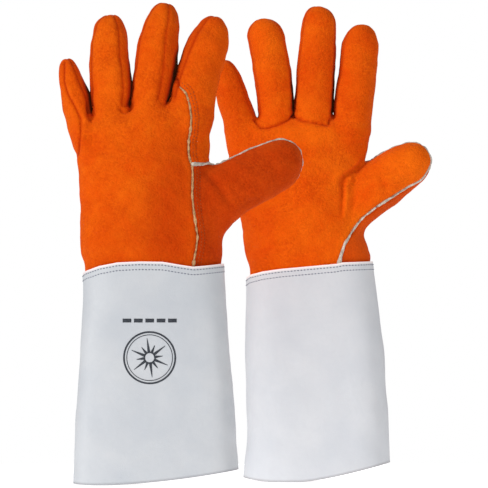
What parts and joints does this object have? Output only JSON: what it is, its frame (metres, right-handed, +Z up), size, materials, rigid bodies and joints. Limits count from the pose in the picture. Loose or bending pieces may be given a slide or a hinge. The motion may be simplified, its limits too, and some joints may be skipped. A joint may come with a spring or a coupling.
{
  "type": "welding gloves",
  "caption": "Pair of gauntlet welding gloves: orange split-leather hands with gusseted fingers and welted seams, pale leather cuffs, standing upright on their cuffs.",
  "frame": {"origin": "middle of the pair's footprint, on the surface that the cuffs stand on", "axes": "+Z up towards the fingertips, +X towards the thumbs, -Y the side that shows the left glove's back and the right glove's palm"},
  "size_m": [0.3042, 0.1744, 0.3836],
  "materials": {
    "split_leather": "napped orange split cowhide, suede side out",
    "side_leather": "napped split cowhide, a darker orange, on the thumb and wrist side",
    "cuff_leather": "smooth pale grey leather with a low sheen",
    "tan_welt": "folded tan leather strip sewn into the back seam",
    "grey_welt": "folded grey-beige leather strip sewn into the thumb seam",
    "fleece_lining": "undyed cotton fleece",
    "stitch_thread": "dark grey heat-resistant thread",
    "print_ink": "dark grey matt printed mark"
  },
  "bodies": {
    "left_cuff": {"left_cuff_back": "cuff_leather", "left_cuff_palm": "cuff_leather"},
    "left_hand": {"left_hand_back": "split_leather", "left_palm": "split_leather", "left_side_panel": "side_leather", "left_back_seam_welt": "tan_welt", "left_thumb_welt_back": "grey_welt", "left_thumb_welt_palm": "grey_welt", "left_hand_lining": "fleece_lining"},
    "left_little": {"left_little_back": "split_leather", "left_little_wrap": "split_leather", "left_little_gusset": "split_leather", "left_little_lining": "fleece_lining"},
    "left_ring": {"left_ring_back": "split_leather", "left_ring_front": "split_leather", "left_ring_outer_gusset": "split_leather", "left_ring_inner_gusset": "split_leather", "left_ring_lining": "fleece_lining"},
    "left_middle": {"left_middle_back": "split_leather", "left_middle_front": "split_leather", "left_middle_outer_gusset": "split_leather", "left_middle_inner_gusset": "split_leather", "left_middle_lining": "fleece_lining"},
    "left_index": {"left_index_wrap": "split_leather", "left_index_gusset": "split_leather", "left_index_lining": "fleece_lining"},
    "left_thumb": {"left_thumb_front": "split_leather", "left_thumb_back": "side_leather", "left_thumb_welt": "grey_welt", "left_thumb_lining": "fleece_lining"},
    "right_cuff": {"right_cuff_back": "cuff_leather", "right_cuff_palm": "cuff_leather"},
    "right_hand": {"right_hand_back": "split_leather", "right_palm": "split_leather", "right_side_panel": "side_leather", "right_back_seam_welt": "tan_welt", "right_thumb_welt_back": "grey_welt", "right_thumb_welt_palm": "grey_welt", "right_hand_lining": "fleece_lining"},
    "right_little": {"right_little_back": "split_leather", "right_little_wrap": "split_leather", "right_little_gusset": "split_leather", "right_little_lining": "fleece_lining"},
    "right_ring": {"right_ring_back": "split_leather", "right_ring_front": "split_leather", "right_ring_outer_gusset": "split_leather", "right_ring_inner_gusset": "split_leather", "right_ring_lining": "fleece_lining"},
    "right_middle": {"right_middle_back": "split_leather", "right_middle_front": "split_leather", "right_middle_outer_gusset": "split_leather", "right_middle_inner_gusset": "split_leather", "right_middle_lining": "fleece_lining"},
    "right_index": {"right_index_wrap": "split_leather", "right_index_gusset": "split_leather", "right_index_lining": "fleece_lining"},
    "right_thumb": {"right_thumb_front": "split_leather", "right_thumb_back": "side_leather", "right_thumb_welt": "grey_welt", "right_thumb_lining": "fleece_lining"}
  },
  "joints": [
    {"name": "left_wrist", "type": "hinge", "parent": "left_cuff", "child": "left_hand", "pos_m": [-0.07458, -0.0515, 0.172], "axis": [1, 0, 0], "range_deg": [-15, 15], "stiffness_Nm_per_rad": 1.2},
    {"name": "left_little_knuckle", "type": "hinge", "parent": "left_hand", "child": "left_little", "pos_m": [-0.13498, -0.047, 0.2896], "axis": [-0.9831, 0, -0.1832], "range_deg": [0, 60], "stiffness_Nm_per_rad": 0.06},
    {"name": "left_ring_knuckle", "type": "hinge", "parent": "left_hand", "child": "left_ring", "pos_m": [-0.10978, -0.047, 0.2952], "axis": [-0.9997, 0, 0.0254], "range_deg": [0, 60], "stiffness_Nm_per_rad": 0.06},
    {"name": "left_middle_knuckle", "type": "hinge", "parent": "left_hand", "child": "left_middle", "pos_m": [-0.07978, -0.047, 0.3008], "axis": [-0.9867, 0, 0.1625], "range_deg": [0, 60], "stiffness_Nm_per_rad": 0.06},
    {"name": "left_index_knuckle", "type": "hinge", "parent": "left_hand", "child": "left_index", "pos_m": [-0.04498, -0.047, 0.3008], "axis": [-0.9643, 0, 0.2647], "range_deg": [0, 60], "stiffness_Nm_per_rad": 0.06},
    {"name": "left_thumb_hinge", "type": "hinge", "parent": "left_hand", "child": "left_thumb", "pos_m": [-0.01938, -0.047, 0.232], "axis": [-0.4121, 0, 0.9112], "range_deg": [0, 40], "stiffness_Nm_per_rad": 0.06},
    {"name": "right_wrist", "type": "hinge", "parent": "right_cuff", "child": "right_hand", "pos_m": [0.05092, 0.0525, 0.172], "axis": [1, 0, 0], "range_deg": [-15, 15], "stiffness_Nm_per_rad": 1.2},
    {"name": "right_little_knuckle", "type": "hinge", "parent": "right_hand", "child": "right_little", "pos_m": [-0.00618, 0.048, 0.2872], "axis": [0.9693, 0, 0.246], "range_deg": [0, 60], "stiffness_Nm_per_rad": 0.06},
    {"name": "right_ring_knuckle", "type": "hinge", "parent": "right_hand", "child": "right_ring", "pos_m": [0.02222, 0.048, 0.2912], "axis": [0.9936, 0, 0.1131], "range_deg": [0, 60], "stiffness_Nm_per_rad": 0.06},
    {"name": "right_middle_knuckle", "type": "hinge", "parent": "right_hand", "child": "right_middle", "pos_m": [0.05302, 0.048, 0.2916], "axis": [0.998, 0, -0.0627], "range_deg": [0, 60], "stiffness_Nm_per_rad": 0.06},
    {"name": "right_index_knuckle", "type": "hinge", "parent": "right_hand", "child": "right_index", "pos_m": [0.08422, 0.048, 0.2904], "axis": [0.9955, 0, -0.0952], "range_deg": [0, 60], "stiffness_Nm_per_rad": 0.06},
    {"name": "right_thumb_hinge", "type": "hinge", "parent": "right_hand", "child": "right_thumb", "pos_m": [0.09422, 0.048, 0.2288], "axis": [0.5604, 0, -0.8282], "range_deg": [0, 40], "stiffness_Nm_per_rad": 0.06},
    {"name": "right_glove_aside", "type": "slide", "parent": "left_cuff", "child": "right_cuff", "axis": [1, 0, 0], "range_m": [0, 0.15]}
  ]
}
